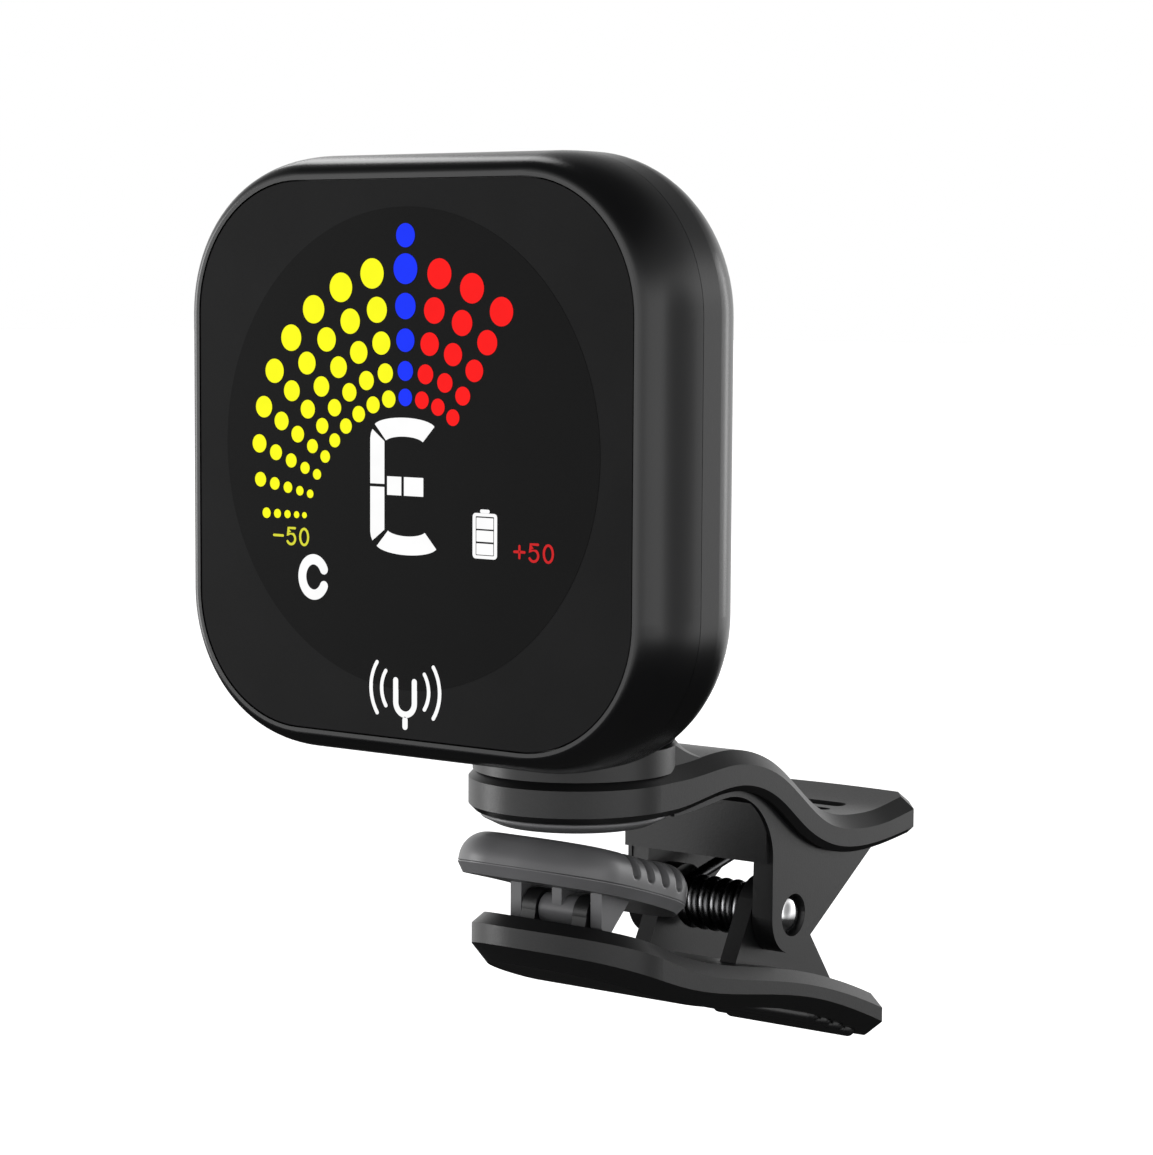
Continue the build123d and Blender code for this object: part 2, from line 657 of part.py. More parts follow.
with BuildPart() as upper_lever:
    add(upper_plate.part)
    add(flare.part)
    # outer cheeks with the jaw's pivot boss, and the thin lip along their front edge
    lip_y = PIVOT_Y - CHEEK_BOSS
    for x in (-CHEEK_OUT, CHEEK_IN):
        with BuildSketch(side(x)):
            with BuildLine():
                CenterArc((PIVOT_Y, PIVOT_Z), CHEEK_BOSS, 0, 360)
                Line((lip_y + 0.35, 0.2), (lip_y + 0.35, -6))
                Line((30, -3.5), (35.5, -6.0))
            make_hull()
        extrude(amount=CHEEK_OUT - CHEEK_IN)
    for x in (-CHEEK_OUT, CHEEK_OUT - LIP):
        with BuildSketch(side(x)):
            with BuildLine():
                curve = Spline(
                    (3.5, 0.65),
                    (8.1, 0.95),
                    (12.6, 1.2),
                    (16.2, -0.3),
                    (lip_y, -5.0),
                    tangents=[(1, 0.05), (0, -1)],
                )
                Polyline(curve @ 1, (lip_y, PIVOT_Z), (lip_y + 1, PIVOT_Z), (lip_y + 1, 0), (12.6, 2.2))
                Polyline((12.6, 2.2), (3.5, 1.5), curve @ 0)
            make_face()
        extrude(amount=LIP)
    # wall across the arm between the cheeks, which stands a little before the left one
    wall_foot = PIVOT_Z + 5.1
    with BuildSketch(side(-CHEEK_OUT)):
        with BuildLine():
            Polyline(
                (lip_y - 0.5, 0.3),
                (lip_y - 0.5, wall_foot),
                (lip_y + 1.5, wall_foot),
                (lip_y + 1.5, 0.3),
                close=True,
            )
        make_face()
    extrude(amount=2 * CHEEK_OUT - LIP)
    # bearing for the neck, with a room below for washer and screw, and the pad's seat
    with BuildSketch(Plane.XY.offset(DISC_BOTTOM - 1)):
        Circle(PAD_SEAT_R + RUNNING)
    extrude(amount=PAD_SEAT_TOP + 1 - DISC_BOTTOM, mode=Mode.SUBTRACT)
    with BuildSketch(Plane.XY.offset(DISC_BOTTOM)):
        Circle(WASHER_R + 0.3)
    extrude(amount=SPIGOT_FOOT + RUNNING - DISC_BOTTOM, mode=Mode.SUBTRACT)
    with BuildSketch(Plane.XY.offset(3.0)):
        Circle(SPIGOT_R + RUNNING)
    extrude(amount=4, mode=Mode.SUBTRACT)
    # bore for the pivot pin, with a recess for its domed head on the right
    with BuildSketch(side(-CHEEK_OUT - 1)):
        with Locations((PIVOT_Y, PIVOT_Z)):
            Circle(PIN_R)
    extrude(amount=2 * CHEEK_OUT + 2, mode=Mode.SUBTRACT)
    for x in (-CHEEK_OUT - 1, CHEEK_OUT - PIN_SUNK - PIN_HEAD_THICK):
        with BuildSketch(side(x)):
            with Locations((PIVOT_Y, PIVOT_Z)):
                Circle(PIN_RECESS_R)
        extrude(amount=1.9, mode=Mode.SUBTRACT)
    # three grip grooves across the tail
    for y in TAIL_GROOVES:
        with BuildSketch(Plane.XY.offset(TAIL_GROOVE_FLOOR)):
            with Locations((0, y)):
                SlotOverall(TAIL_GROOVE_LENGTH, TAIL_GROOVE_WIDTH)
        extrude(amount=3, mode=Mode.SUBTRACT)

with BuildPart() as upper_pad:
    with BuildSketch(Plane.XY):
        Circle(PAD_R)
    extrude(amount=PAD_TOP)
    chamfer(faces().sort_by(Axis.Z)[0].edges(), length=PAD_BEVEL, length2=PAD_R - PAD_FACE_R)
    with BuildSketch(Plane.XY.offset(PAD_BEVEL)):
        Circle(PAD_SEAT_R)
    extrude(amount=PAD_SEAT_TOP - PAD_BEVEL)

save(upper_lever, "upper_lever")
save(upper_pad, "upper_pad")

# ======================================================================== lower lever


def lower_top():
    """Down to the rear: steeper at the jaw's front, easier under the pivot, and steeper again at the tail."""
    return Spline(
        (-9.5, -6.6),
        (-5, -7.75),
        (0, -9.45),
        (5, -11.5),
        (10, -13.0),
        (16, -14.25),
        (23, -15.8),
        (30, -17.95),
        (38, -21.2),
    )


def lower_bottom():
    """The same line below."""
    return Spline(
        (38, -25.1),
        (30, -21.7),
        (23, -19.4),
        (16, -17.9),
        (10, -16.8),
        (5, -15.6),
        (0, -13.9),
        (-5, -12.0),
        (-9.5, -10.6),
    )


lower_plate = lever_plate(
    lower_top, lower_bottom, LOWER_FRONT_Y, LOWER_END, LOWER_CHAMFER, LOWER_UNDER_CHAMFER
)

# round ridges across the underside of the tail
with BuildPart() as ridges:
    with BuildSketch(side(-RIDGE_HALF)):
        for number in range(RIDGES):
            back = number * RIDGE_PITCH
            with Locations((LAST_RIDGE[0] - back, LAST_RIDGE[1] + back * TAIL_SLOPE)):
                Circle(RIDGE_R)
    extrude(amount=2 * RIDGE_HALF)
    fillet(edges().filter_by(GeomType.CIRCLE), radius=RIDGE_R - 0.2)

with BuildPart() as lower_lever:
    add(lower_plate.part)
    add(ridges.part)
    # inner cheeks
    for x in (-INNER_CHEEK_OUT, INNER_CHEEK_IN):
        with BuildSketch(side(x)):
            with BuildLine():
                CenterArc((PIVOT_Y, PIVOT_Z), CHEEK_BOSS - 0.15, 0, 360)
                Line((15.8, -15.2), (32.4, -19.0))
            make_hull()
        extrude(amount=INNER_CHEEK_OUT - INNER_CHEEK_IN)
    # well under the rocker's legs
    with BuildSketch(Plane.XY.offset(ROCKER_Z - 2.6)):
        with Locations((0, ROCKER_Y)):
            Rectangle(2 * LEG_OUT + 1.0, 6.4)
    extrude(amount=8, mode=Mode.SUBTRACT)
    # ears that hold the rocker's pin
    for x in (-EAR_OUT, EAR_IN):
        with BuildSketch(side(x)):
            with Locations((ROCKER_Y, ROCKER_Z)):
                Circle(EAR_R)
            with BuildLine():
                Polyline(
                    (ROCKER_Y - EAR_R, ROCKER_Z),
                    (ROCKER_Y - EAR_R - EAR_SPREAD, ROCKER_Z - EAR_HEIGHT),
                    (ROCKER_Y + EAR_R + 0.3, ROCKER_Z - EAR_HEIGHT),
                    (ROCKER_Y + EAR_R, ROCKER_Z),
                    close=True,
                )
            make_face()
        extrude(amount=EAR_OUT - EAR_IN)
    with BuildSketch(side(-EAR_OUT)):
        with Locations((ROCKER_Y, ROCKER_Z)):
            Circle(ROCKER_PIN_R)
    extrude(amount=2 * EAR_OUT, mode=Mode.SUBTRACT)
    with BuildSketch(side(-INNER_CHEEK_OUT)):
        with Locations((PIVOT_Y, PIVOT_Z)):
            Circle(PIN_R + RUNNING)
    extrude(amount=2 * INNER_CHEEK_OUT, mode=Mode.SUBTRACT)

save(lower_lever, "lower_lever")

# ======================================================================== rocker

ROCKER_UP = Axis((0, 0, 0), rocker_plane().z_dir)
ROCKER_ALONG = Plane(
    origin=rocker_plane().origin - Vector(ROCKER_SIZE[0], 0, 0),
    x_dir=(0, cos(radians(ROCKER_TILT)), -sin(radians(ROCKER_TILT))),
    z_dir=(1, 0, 0),
)


def arch(height, rear=0.0):
    """The rocker's line from front to rear at a height above the joint, and how much higher it ends."""
    return Spline(
        (-11, height),
        (-5, height + 0.65 * ROCKER_ARCH),
        (1.5, height + ROCKER_ARCH),
        (7, height + 0.7 * ROCKER_ARCH + 0.8 * rear),
        (11, height + rear),
    )


def rocker_slab(low, high, inset=0.0):
    """A slab of the rocker's outline, arched from front to rear, between two heights."""
    with BuildPart() as slab:
        with BuildSketch(ROCKER_ALONG):
            with BuildLine():
                under = arch(low)
                over = arch(high, CROWN_REAR if high > 0 else 0)
                Line(under @ 0, over @ 0)
                Line(under @ 1, over @ 1)
            make_face()
        extrude(amount=2 * ROCKER_SIZE[0])
        with BuildSketch(rocker_plane(-3)):
            RectangleRounded(
                ROCKER_SIZE[0] - 2 * inset, ROCKER_SIZE[1] - 2 * inset, ROCKER_CORNER - inset
            )
        extrude(amount=10, mode=Mode.INTERSECT)
    return slab


with BuildPart() as rocker_frame:
    add(rocker_slab(-ROCKER_FLANGE, -0.01).part)
    flange_foot = faces().sort_by(ROCKER_UP)[0]
    chamfer(
        flange_foot.edges(), length=FLANGE_BEVEL, length2=ROCKER_FLANGE - 0.1, reference=flange_foot
    )
    # pockets over the lower lever's ears
    with BuildSketch(Plane.XY.offset(ROCKER_Z)):
        ear_middle = (EAR_OUT + EAR_IN) / 2
        with Locations((-ear_middle, ROCKER_Y), (ear_middle, ROCKER_Y)):
            Rectangle(EAR_OUT - EAR_IN + 0.4, 4.6)
    extrude(amount=6, mode=Mode.SUBTRACT)
    # legs outside the ears, which narrow towards the foot
    for x in (-LEG_OUT, LEG_IN):
        with BuildSketch(side(x)):
            with BuildLine():
                Polyline(
                    (ROCKER_Y - 1.35, ROCKER_Z + 2.5),
                    (ROCKER_Y - 1.35, ROCKER_Z - 0.8),
                    (ROCKER_Y - 0.7, ROCKER_Z - 1.45),
                    (ROCKER_Y - 0.05, ROCKER_Z - 1.45),
                    (ROCKER_Y + 0.3, ROCKER_Z - 1.1),
                    (ROCKER_Y + 2.8, ROCKER_Z + 1.15),
                    close=True,
                )
            make_face()
        extrude(amount=LEG_OUT - LEG_IN)
    # hub between the ears, with its web
    hub_half = EAR_IN - 0.12
    with BuildSketch(side(-hub_half)):
        with Locations((ROCKER_Y, ROCKER_Z)):
            Circle(HUB_R)
    extrude(amount=2 * hub_half)
    with BuildSketch(side(-0.5)):
        with BuildLine():
            Polyline(
                (ROCKER_Y - 1.2, ROCKER_Z),
                (ROCKER_Y - 1.2, ROCKER_Z + 2.3),
                (ROCKER_Y + 2.0, ROCKER_Z + 1.4),
                (ROCKER_Y + 1.2, ROCKER_Z),
                close=True,
            )
        make_face()
    extrude(amount=1.0)
    # the pin's bore, closed by a skin at both ends
    bore_half = LEG_OUT - LEG_SKIN + RUNNING
    with BuildSketch(side(-bore_half)):
        with Locations((ROCKER_Y, ROCKER_Z)):
            Circle(ROCKER_PIN_R + RUNNING)
    extrude(amount=2 * bore_half, mode=Mode.SUBTRACT)

# The grooves follow the crown: bars across the pad, less a smaller crown inside it.
with BuildPart() as groove_bars:
    with BuildSketch(rocker_plane(GROOVE_FLOOR + ROCKER_ARCH)):
        for number in range(GROOVES):
            with Locations((0, FIRST_GROOVE + number * GROOVE_PITCH)):
                Rectangle(ROCKER_SIZE[0] + 1, GROOVE_WIDTH)
    extrude(amount=PAD_CROWN + 1)
    with BuildPart(mode=Mode.SUBTRACT):
        add(rocker_slab(-0.5, PAD_CROWN - GROOVE_DEPTH, GROOVE_DEPTH).part)
        fillet(rim(upward(faces())), radius=CROWN_ROUND - GROOVE_DEPTH)

with BuildPart() as rocker_pad:
    add(rocker_slab(0, PAD_CROWN).part)
    fillet(rim(upward(faces())), radius=CROWN_ROUND)
    add(groove_bars.part, mode=Mode.SUBTRACT)

with BuildPart() as rocker_pin:
    with BuildSketch(side(-LEG_OUT + LEG_SKIN)):
        with Locations((ROCKER_Y, ROCKER_Z)):
            Circle(ROCKER_PIN_R)
    extrude(amount=2 * (LEG_OUT - LEG_SKIN))
    chamfer(edges(), length=0.12)

for piece, name in (
    (rocker_frame, "rocker_frame"),
    (rocker_pad, "rocker_pad"),
    (rocker_pin, "rocker_pin"),
):
    save(piece, name)

# ======================================================================== pivot pin and spring

with BuildPart() as pivot_pin:
    pin_half = CHEEK_OUT - PIN_SUNK
    with BuildSketch(side(-pin_half)):
        with Locations((PIVOT_Y, PIVOT_Z)):
            Circle(PIN_R)
    extrude(amount=2 * pin_half)
    for x in (-pin_half, pin_half - PIN_HEAD_THICK):
        with BuildSketch(side(x)):
            with Locations((PIVOT_Y, PIVOT_Z)):
                Circle(PIN_HEAD_R)
        extrude(amount=PIN_HEAD_THICK)
    fillet(faces().sort_by(Axis.X)[-1].edges(), radius=0.6)
    fillet(faces().sort_by(Axis.X)[0].edges(), radius=0.4)

save(pivot_pin, "pivot_pin")

# The coil lies on the pin. One leg runs up under the arm, the other down on the lower lever.
SPRING_LENGTH = SPRING_TURNS * SPRING_PITCH
with BuildPart() as torsion_spring:
    with BuildLine():
        coil = Helix(
            pitch=SPRING_PITCH,
            height=SPRING_LENGTH,
            radius=SPRING_R,
            center=(-SPRING_LENGTH / 2, PIVOT_Y, PIVOT_Z),
            direction=(1, 0, 0),
        )
    with BuildSketch(Plane(origin=coil @ 0, z_dir=coil % 0)):
        Circle(WIRE_R)
    sweep(path=coil, is_frenet=True)
    for start, (length, angle) in ((coil @ 0, UPPER_LEG), (coil @ 1, LOWER_LEG)):
        lean = (0, cos(radians(angle)), sin(radians(angle)))
        with BuildSketch(Plane(origin=start, x_dir=(1, 0, 0), z_dir=lean)):
            Circle(WIRE_R)
        extrude(amount=length)

save(torsion_spring, "torsion_spring")
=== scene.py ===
import json
from math import atan2, cos, pi, radians, sin

import bmesh
import bpy
from mathutils import Matrix, Vector


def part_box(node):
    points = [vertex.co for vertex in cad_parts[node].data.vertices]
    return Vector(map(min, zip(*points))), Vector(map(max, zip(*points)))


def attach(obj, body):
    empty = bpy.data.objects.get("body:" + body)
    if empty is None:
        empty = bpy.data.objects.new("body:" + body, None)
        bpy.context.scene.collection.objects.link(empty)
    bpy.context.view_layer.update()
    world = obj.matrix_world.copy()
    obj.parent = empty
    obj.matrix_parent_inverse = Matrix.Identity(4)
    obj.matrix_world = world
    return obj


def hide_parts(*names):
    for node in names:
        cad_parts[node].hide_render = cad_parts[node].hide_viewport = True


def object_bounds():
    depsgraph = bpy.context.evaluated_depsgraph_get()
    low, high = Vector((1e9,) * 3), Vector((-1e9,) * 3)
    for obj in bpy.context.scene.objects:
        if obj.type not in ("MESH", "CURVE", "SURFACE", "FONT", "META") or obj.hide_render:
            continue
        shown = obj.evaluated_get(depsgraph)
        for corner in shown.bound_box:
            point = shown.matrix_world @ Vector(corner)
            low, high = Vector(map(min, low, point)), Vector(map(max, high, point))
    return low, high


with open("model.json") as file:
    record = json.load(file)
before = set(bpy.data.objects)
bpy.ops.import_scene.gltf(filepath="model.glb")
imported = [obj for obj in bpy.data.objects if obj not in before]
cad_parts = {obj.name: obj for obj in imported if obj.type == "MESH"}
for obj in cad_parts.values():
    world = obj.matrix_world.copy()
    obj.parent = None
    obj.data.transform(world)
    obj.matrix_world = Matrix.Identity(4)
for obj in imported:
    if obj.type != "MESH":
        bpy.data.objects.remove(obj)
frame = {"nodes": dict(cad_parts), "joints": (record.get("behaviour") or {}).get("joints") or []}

# Clip-on tuner. Everything is in metres, in the CAD frame: the display faces -Y and +Z is up.
MM = 0.001
cad_low, cad_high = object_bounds()

# ---------------------------------------------------------------- places, from the frame
window_low, window_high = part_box("display_window")
FRONT_Y = window_low.y  # plane of the window's face
WINDOW_Z = (window_low.z + window_high.z) / 2
WINDOW_HALF = window_high.x
WINDOW_CORNER = 10.5 * MM
WINDOW_SET_BACK = 0.05 * MM  # room in front of the window for the display and the marks
WINDOW_THICK = window_high.y - window_low.y
lcd_low, lcd_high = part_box("lcd_panel")
DISPLAY_Z = (lcd_low.z + lcd_high.z) / 2
DISPLAY_R = 18.84 * MM
DISPLAY_FRONT = FRONT_Y + 0.03 * MM
FIGURE_FRONT = FRONT_Y + 0.005 * MM
MARK_FRONT = FRONT_Y + 0.01 * MM
FILM = 0.04 * MM  # thickness of the display and of its figures
MARK_FILM = 0.05 * MM
joint_at = {joint["name"]: Vector(joint.get("pos_m", (0, 0, 0))) for joint in frame["joints"]}
PIVOT = joint_at["jaw_pivot"]


# ---------------------------------------------------------------- mesh helpers
def new_piece(name, mesh_data, body, material, smooth=True):
    """Makes an object of finished mesh data, and lets it ride on a body."""
    piece = bpy.data.objects.new(name, mesh_data)
    bpy.context.scene.collection.objects.link(piece)
    if smooth and hasattr(mesh_data, "polygons"):
        for polygon in mesh_data.polygons:
            polygon.use_smooth = True
    mesh_data.materials.append(material)
    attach(piece, body)
    return piece


def mesh_from(bm, name):
    """Turns a bmesh into mesh data, with outward normals."""
    bmesh.ops.recalc_face_normals(bm, faces=bm.faces)
    data = bpy.data.meshes.new(name)
    bm.to_mesh(data)
    bm.free()
    return data


def add_modifier(piece, kind, **settings):
    """Adds a modifier and sets its values."""
    modifier = piece.modifiers.new(kind.title(), kind)
    for key, value in settings.items():
        setattr(modifier, key, value)
    return modifier


def lathe(name, profile, centre, axis, segments=96):
    """Revolves a profile of (radius, height) points round an axis through the centre."""
    bm = bmesh.new()
    turn = Vector((0, 0, 1)).rotation_difference(Vector(axis)).to_matrix()
    rings = []
    for radius, height in profile:
        if radius < 1e-9:
            rings.append([bm.verts.new(Vector(centre) + turn @ Vector((0, 0, height)))])
            continue
        ring = []
        for number in range(segments):
            angle = 2 * pi * number / segments
            point = Vector((radius * cos(angle), radius * sin(angle), height))
            ring.append(bm.verts.new(Vector(centre) + turn @ point))
        rings.append(ring)
    for first, second in zip(rings, rings[1:]):
        for number in range(segments):
            after = (number + 1) % segments
            corners = [first[number % len(first)], first[after % len(first)]]
            corners += [second[after % len(second)], second[number % len(second)]]
            bm.faces.new(list(dict.fromkeys(corners)))
    return mesh_from(bm, name)


def plate(name, outlines, front, thickness):
    """A thin flat piece across the head, of closed outlines in mm about the window's centre."""
    bm = bmesh.new()
    for outline in outlines:
        loop = [bm.verts.new((x * MM, front, WINDOW_Z + z * MM)) for x, z in outline]
        for first, second in zip(loop, loop[1:] + loop[:1]):
            bm.edges.new((first, second))
    bmesh.ops.triangle_fill(bm, edges=bm.edges, use_beauty=True)
    faces = list(bm.faces)
    grown = bmesh.ops.extrude_face_region(bm, geom=faces)
    moved = [item for item in grown["geom"] if isinstance(item, bmesh.types.BMVert)]
    bmesh.ops.translate(bm, verts=moved, vec=(0, thickness, 0))
    return mesh_from(bm, name)


# ---------------------------------------------------------------- outlines, in mm
def circle(x, z, radius, count=48):
    """A round outline."""
    return [
        (x + radius * cos(2 * pi * n / count), z + radius * sin(2 * pi * n / count))
        for n in range(count)
    ]


def rounded(x, z, half_x, half_z, corner, count=12):
    """A rectangle with round corners about (x, z)."""
    points = []
    for quarter in range(4):
        sign_x = 1 if quarter in (0, 3) else -1
        sign_z = 1 if quarter in (0, 1) else -1
        for n in range(count + 1):
            angle = (quarter + n / count) * pi / 2
            middle_x = x + sign_x * (half_x - corner)
            middle_z = z + sign_z * (half_z - corner)
            points.append((middle_x + corner * cos(angle), middle_z + corner * sin(angle)))
    return points


def stroke(points, width, closed=False, cap=8):
    """The outlines of a pen stroke of even width along points, with round ends."""
    half = width / 2
    count = len(points)
    left, right = [], []
    for n, (x, z) in enumerate(points):
        before = points[n - 1] if n or closed else points[n]
        after = points[(n + 1) % count] if n < count - 1 or closed else points[n]
        run = atan2(after[1] - before[1], after[0] - before[0])
        left.append((x - half * sin(run), z + half * cos(run)))
        right.append((x + half * sin(run), z - half * cos(run)))
    if closed:
        return [left, right]
    tip = atan2(points[-1][1] - points[-2][1], points[-1][0] - points[-2][0])
    tail = atan2(points[0][1] - points[1][1], points[0][0] - points[1][0])
    ends = []
    for (x, z), way in ((points[-1], tip), (points[0], tail)):
        turn = [way + pi / 2 - pi * n / cap for n in range(1, cap)]
        ends.append([(x + half * cos(angle), z + half * sin(angle)) for angle in turn])
    return [left + ends[0] + right[::-1] + ends[1]]


def arc(x, z, radius_x, radius_z, start, end, count=24):
    """Points along an elliptical arc, in degrees anticlockwise from the right."""
    steps = [radians(start + (end - start) * n / count) for n in range(count + 1)]
    return [(x + radius_x * cos(angle), z + radius_z * sin(angle)) for angle in steps]


# ---------------------------------------------------------------- materials
def shader(name):
    """A new material and its nodes: (material, nodes, links, principled shader)."""
    material = bpy.data.materials.new(name)
    material.use_nodes = True
    nodes, links = material.node_tree.nodes, material.node_tree.links
    return material, nodes, links, nodes["Principled BSDF"]


def noise(nodes, links, scale, detail=3.0, roughness=0.55):
    """A noise texture in object space. Scale is per metre."""
    place = nodes.new("ShaderNodeTexCoord")
    texture = nodes.new("ShaderNodeTexNoise")
    texture.inputs["Scale"].default_value = scale
    texture.inputs["Detail"].default_value = detail
    texture.inputs["Roughness"].default_value = roughness
    links.new(place.outputs["Object"], texture.inputs["Vector"])
    return texture


def ramp(nodes, links, source, low, high, start=0.3, end=0.7):
    """Maps a 0 to 1 value onto a range of colours or greys."""
    band = nodes.new("ShaderNodeValToRGB")
    band.color_ramp.elements[0].position = start
    band.color_ramp.elements[1].position = end
    band.color_ramp.elements[0].color = (*low, 1)
    band.color_ramp.elements[1].color = (*high, 1)
    links.new(source, band.inputs["Fac"])
    return band


def moulded(name, colour, rough, grain, relief, coat=0.0, specular=0.5):
    """Moulded plastic or rubber: fine grain in the relief, slow drift in colour and roughness."""
    material, nodes, links, bsdf = shader(name)
    drift = noise(nodes, links, 130.0, 2.0)
    low = tuple(channel * 0.88 for channel in colour)
    high = tuple(channel * 1.12 for channel in colour)
    tint = ramp(nodes, links, drift.outputs["Fac"], low, high)
    links.new(tint.outputs["Color"], bsdf.inputs["Base Color"])
    fine = noise(nodes, links, grain, 4.0, 0.6)
    gloss = ramp(nodes, links, fine.outputs["Fac"], (rough * 0.9,) * 3, (rough * 1.1,) * 3)
    links.new(gloss.outputs["Color"], bsdf.inputs["Roughness"])
    bump = nodes.new("ShaderNodeBump")
    bump.inputs["Strength"].default_value = relief
    bump.inputs["Distance"].default_value = 0.02 * MM
    links.new(fine.outputs["Fac"], bump.inputs["Height"])
    links.new(bump.outputs["Normal"], bsdf.inputs["Normal"])
    bsdf.inputs["Specular IOR Level"].default_value = specular
    bsdf.inputs["Coat Weight"].default_value = coat
    bsdf.inputs["Coat Roughness"].default_value = 0.12
    return material


def polished(name, colour, rough, streak):
    """Metal, with fine marks from polishing or drawing."""
    material, nodes, links, bsdf = shader(name)
    marks = noise(nodes, links, streak, 5.0, 0.6)
    low = tuple(channel * 0.9 for channel in colour)
    tint = ramp(nodes, links, marks.outputs["Fac"], low, colour)
    links.new(tint.outputs["Color"], bsdf.inputs["Base Color"])
    gloss = ramp(nodes, links, marks.outputs["Fac"], (rough * 0.7,) * 3, (rough * 1.3,) * 3)
    links.new(gloss.outputs["Color"], bsdf.inputs["Roughness"])
    bsdf.inputs["Metallic"].default_value = 1.0
    return material


def lit(name, colour, strength=1.0):
    """A lit part of the display, seen through the window. Its glow is a little uneven."""
    material, nodes, links, bsdf = shader(name)
    drift = noise(nodes, links, 700.0, 1.0)
    low = tuple(channel * 0.97 for channel in colour)
    tint = ramp(nodes, links, drift.outputs["Fac"], low, colour)
    bsdf.inputs["Base Color"].default_value = (0.01, 0.01, 0.01, 1)
    bsdf.inputs["Roughness"].default_value = 0.5
    bsdf.inputs["Specular IOR Level"].default_value = 0.0
    links.new(tint.outputs["Color"], bsdf.inputs["Emission Color"])
    bsdf.inputs["Emission Strength"].default_value = strength
    return material


shell_plastic = moulded("shell_plastic", (0.009, 0.0092, 0.0098), 0.24, 9000, 0.08)
clip_plastic = moulded("clip_plastic", (0.011, 0.0111, 0.0116), 0.34, 5200, 0.4, specular=0.55)
# The neck's near-black colour is painted shade: it stands in for the shadow that the head casts on
# the neck.
neck_painted_shade = moulded("neck_painted_shade", (0.004, 0.0041, 0.0044), 0.55, 7000, 0.2, specular=0.08)
jaw_rubber = moulded("jaw_rubber", (0.17, 0.17, 0.175), 0.34, 6500, 0.2)
rocker_plastic = moulded("rocker_plastic", (0.18, 0.18, 0.186), 0.36, 6500, 0.25)
button_plastic = moulded("button_plastic", (0.03, 0.03, 0.032), 0.5, 7000, 0.3)
window_mask = moulded("window_mask", (0.0112, 0.0112, 0.0115), 0.6, 9000, 0.0, specular=0.1)
display_black = moulded("display_black", (0.0035, 0.0035, 0.0036), 0.6, 9000, 0.0, specular=0.1)
chrome = polished("chrome", (0.86, 0.86, 0.87), 0.10, 900)
steel = polished("steel", (0.45, 0.45, 0.46), 0.3, 2500)
black_wire = polished("black_wire", (0.16, 0.16, 0.165), 0.24, 1800)
gold = polished("gold", (0.75, 0.55, 0.24), 0.35, 2500)
board_green = moulded("board_green", (0.02, 0.12, 0.06), 0.4, 3000, 0.2)
pale_plastic = moulded("pale_plastic", (0.7, 0.7, 0.7), 0.45, 3000, 0.2)
amber_film = moulded("amber_film", (0.45, 0.22, 0.04), 0.35, 3000, 0.1)
foil = polished("foil", (0.7, 0.71, 0.73), 0.35, 400)
lit_yellow = lit("lit_yellow", (1.0, 1.0, 0.013))
lit_blue = lit("lit_blue", (0.011, 0.038, 1.0))
lit_red = lit("lit_red", (1.0, 0.011, 0.011))
lit_white = lit("lit_white", (1.0, 1.0, 1.0))
lit_straw = lit("lit_straw", (0.72, 0.72, 0.045))
lit_crimson = lit("lit_crimson", (0.62, 0.018, 0.02))

FINISHES = {
    "front_bezel": shell_plastic,
    "rear_cover": shell_plastic,
    "window_gasket": button_plastic,
    "lcd_panel": display_black,
    "backlight": pale_plastic,
    "display_flex": amber_film,
    "main_board": board_green,
    "sound_chip": button_plastic,
    "battery_tape": pale_plastic,
    "battery_cell": foil,
    "piezo_sensor": gold,
    "usb_receptacle": steel,
    "tact_switches": button_plastic,
    "power_button": button_plastic,
    "mode_button": button_plastic,
    "shell_screws": steel,
    "board_screws": steel,
    "swivel_neck": neck_painted_shade,
    "tilt_pin": chrome,
    "swivel_washer": pale_plastic,
    "swivel_screw": steel,
    "upper_lever": clip_plastic,
    "lower_lever": clip_plastic,
    "rocker_frame": rocker_plastic,
    "rocker_pin": chrome,
}
for node, finish in FINISHES.items():
    for slot in frame["nodes"][node].material_slots:
        slot.material = finish


# ---------------------------------------------------------------- window and display
def window():
    """The black window, with its edge eased and the round display showing a little darker."""
    outline = rounded(0, 0, WINDOW_HALF / MM, WINDOW_HALF / MM, WINDOW_CORNER / MM, 20)
    glass = new_piece(
        "window_glass",
        plate("window_glass", [outline], FRONT_Y + WINDOW_SET_BACK, WINDOW_THICK - WINDOW_SET_BACK),
        "head",
        window_mask,
        smooth=False,
    )
    add_modifier(glass, "BEVEL", width=0.12 * MM, segments=3, limit_method="ANGLE")
    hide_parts("display_window")
    disc = circle(0, (DISPLAY_Z - WINDOW_Z) / MM, DISPLAY_R / MM, 160)
    new_piece(
        "display_field",
        plate("display_field", [disc], DISPLAY_FRONT, FILM),
        "head",
        display_black,
        smooth=False,
    )


# The meter is a fan of dots. Its columns are 10 degrees apart round one centre, and its rings
# draw together and its dots shrink towards the flat end.
FAN_CENTRE = (0.0, -4.72)
FAN_STEP = 10
OUTER_RADIUS = 19.63
OUTER_DROP = 5.07  # how much nearer the outer ring is at 90 degrees
RING_GAPS = (0, 2.88, 2.64, 2.38, 2.05)
DOT_SIZES = (2.38, 2.04, 1.82, 1.54, 1.36)
TOP_DOT = (17.49, 1.87)  # height and diameter of the single dot above the fan
CLOSING = 0.59  # share by which the rings have drawn together in the last column
CLOSING_POWER = 2.2
DOT_POWER = 1.15  # the dots shrink a little faster than their rings draw together
FLAT_COLUMNS = 9
SHARP_COLUMNS = 3


